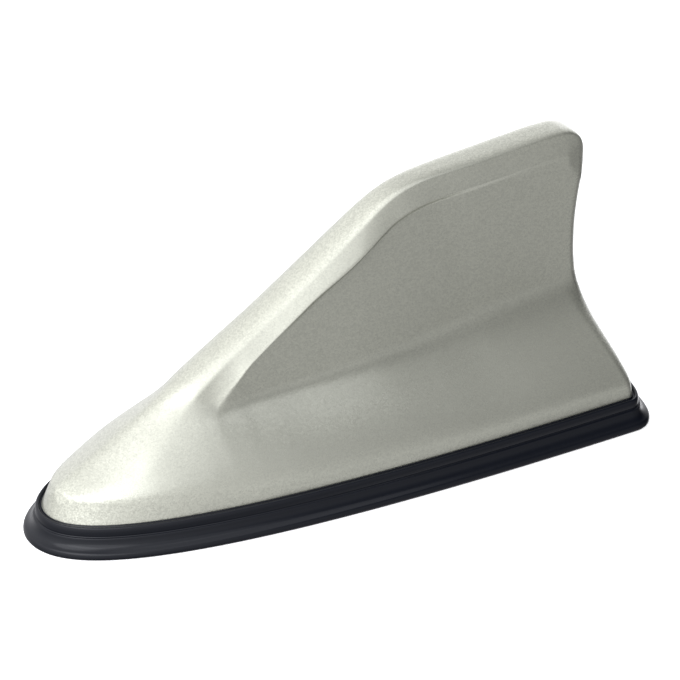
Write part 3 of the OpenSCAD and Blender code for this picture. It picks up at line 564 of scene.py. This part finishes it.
cover = cover_mesh(mats["painted_cover"])
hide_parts("cover")
gasket = gasket_mesh(mats["black_rubber"])
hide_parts("gasket")

# floor, light, camera
def towards(azimuth, elevation):
    """Unit vector from the origin, azimuth from +X, both angles in degrees."""
    a, e = math.radians(azimuth), math.radians(elevation)
    return Vector((math.cos(a) * math.cos(e), math.sin(a) * math.cos(e), math.sin(e)))


# the floor lies just under the rubber; the world's light from below passes it
FLOOR_SIZE, FLOOR_DROP = 8, 0.0002
floor_m, floor_nodes, _ = material("pale_floor")
socket(floor_nodes["Principled BSDF"], {
    "Base Color": (0.9, 0.9, 0.9, 1), "Roughness": 0.9, "Specular IOR Level": 0.1,
    "Emission Color": (1, 1, 1, 1), "Emission Strength": 0.55})
bpy.ops.mesh.primitive_plane_add(size=FLOOR_SIZE, location=(0, 0, -FLOOR_DROP))
floor = bpy.context.active_object
floor.name = "floor"
floor.data.materials.append(floor_m)
floor.visible_glossy = False
floor.visible_diffuse = False
floor.visible_shadow = False

# round diffusers over the nose: azimuth from +X, elevation, power in watts
LAMPS = [(225, 30, 0.16), (262, 48, 0.08), (200, 45, 0.22), (320, 70, 0.1)]
LAMP_AIM, LAMP_FAR, LAMP_SIZE = Vector((-0.045, 0, 0.02)), 0.25, 0.2
LAMP_COLOUR = (0.93, 0.945, 1)
for number, (azimuth, elevation, power) in enumerate(LAMPS):
    away = towards(azimuth, elevation)
    lamp_data = bpy.data.lights.new(f"diffuser_{number}", "AREA")
    lamp_data.shape, lamp_data.size, lamp_data.energy = "DISK", LAMP_SIZE, power
    lamp_data.color = LAMP_COLOUR
    lamp = bpy.data.objects.new(lamp_data.name, lamp_data)
    lamp.location = LAMP_AIM + away * LAMP_FAR
    lamp.rotation_euler = away.to_track_quat("Z", "Y").to_euler()
    lamp.visible_camera = False
    bpy.context.scene.collection.objects.link(lamp)

# soft patches of light: azimuth from +X, elevation, sharpness, strength; the first three were given
# one by one, and a least squares fit to the photograph's brightness gave the strengths of the
# others
GLOWS = [(45, 0, 8, 1.5), (35, -35, 20, 1.6), (303, -50, 40, 1.2), (0, -45, 8, 0.13),
         (315, -45, 8, 0.28), (90, 0, 8, 0.31), (180, 0, 8, 0.22), (225, 0, 8, 0.35),
         (270, 0, 8, 0.42), (315, 0, 8, 0.21), (45, 45, 8, 0.09), (90, 45, 8, 0.26),
         (135, 45, 8, 0.18), (180, 45, 8, 0.4), (225, 45, 8, 0.28), (220, 20, 40, 0.09),
         (255, 20, 40, 0.33), (185, 50, 40, 0.09), (150, 75, 40, 0.34), (185, 75, 40, 0.37),
         (220, 75, 40, 0.24), (90, 0, 2, 0.52), (135, 0, 2, 0.22), (180, 0, 2, 0.45),
         (225, 0, 2, 0.62), (270, 0, 2, 0.17), (90, 45, 2, 0.26), (135, 45, 2, 0.5),
         (180, 45, 2, 0.59), (225, 45, 2, 0.25), (0, -90, 2, 0.08)]
WORLD_COLOUR = (1, 1, 1.03, 1)
world = bpy.data.worlds.new("studio")
bpy.context.scene.world = world
world.use_nodes = True
sky, sky_links = world.node_tree.nodes, world.node_tree.links
coord = sky.new("ShaderNodeTexCoord")


def maths(operation, *values):
    """A math node fed with sockets or numbers."""
    node = sky.new("ShaderNodeMath")
    node.operation = operation
    for k, value in enumerate(values):
        if isinstance(value, (int, float)):
            node.inputs[k].default_value = value
        else:
            sky_links.new(value, node.inputs[k])
    return node.outputs[0]


def glow(total, azimuth, elevation, sharp, strength):
    """Adds a wide soft patch of light round one direction, as a big diffuser gives."""
    axis = sky.new("ShaderNodeVectorMath")
    axis.operation = "DOT_PRODUCT"
    axis.inputs[1].default_value = towards(azimuth, elevation)
    sky_links.new(coord.outputs["Generated"], axis.inputs[0])
    patch = maths("POWER", maths("MAXIMUM", axis.outputs["Value"], 0.0), sharp)
    return maths("MULTIPLY_ADD", patch, strength, total)


level = 0.0
for patch in GLOWS:
    level = glow(level, *patch)
sky_links.new(level, sky["Background"].inputs["Strength"])
sky["Background"].inputs["Color"].default_value = WORLD_COLOUR

# the photograph is PICTURE pixels square; the target lies at TARGET_U, TARGET_V in it, and one
# millimetre there is SCALE pixels; the camera stands DIST metres away at AZ and EL
PICTURE, TARGET_U, TARGET_V, SCALE = 680, 309.0, 449.4, 3.976
AZ, EL, DIST = math.radians(-33), math.radians(32), 1.158
TARGET = Vector((-0.0029, 0, 0))
back = Vector((math.sin(AZ) * math.cos(EL), -math.cos(AZ) * math.cos(EL), math.sin(EL)))
cam_data = bpy.data.cameras.new("camera")
cam_data.sensor_width = 36
cam_data.lens = SCALE * (DIST / MM) / PICTURE * cam_data.sensor_width
cam_data.shift_x = (PICTURE / 2 - TARGET_U) / PICTURE
cam_data.shift_y = (TARGET_V - PICTURE / 2) / PICTURE
cam_data.clip_end = 50
cam = bpy.data.objects.new("camera", cam_data)
cam.location = TARGET + back * DIST
cam.rotation_euler = (-back).to_track_quat("-Z", "Y").to_euler()
bpy.context.scene.collection.objects.link(cam)
bpy.context.scene.camera = cam
bpy.context.scene.view_settings.view_transform = "Standard"
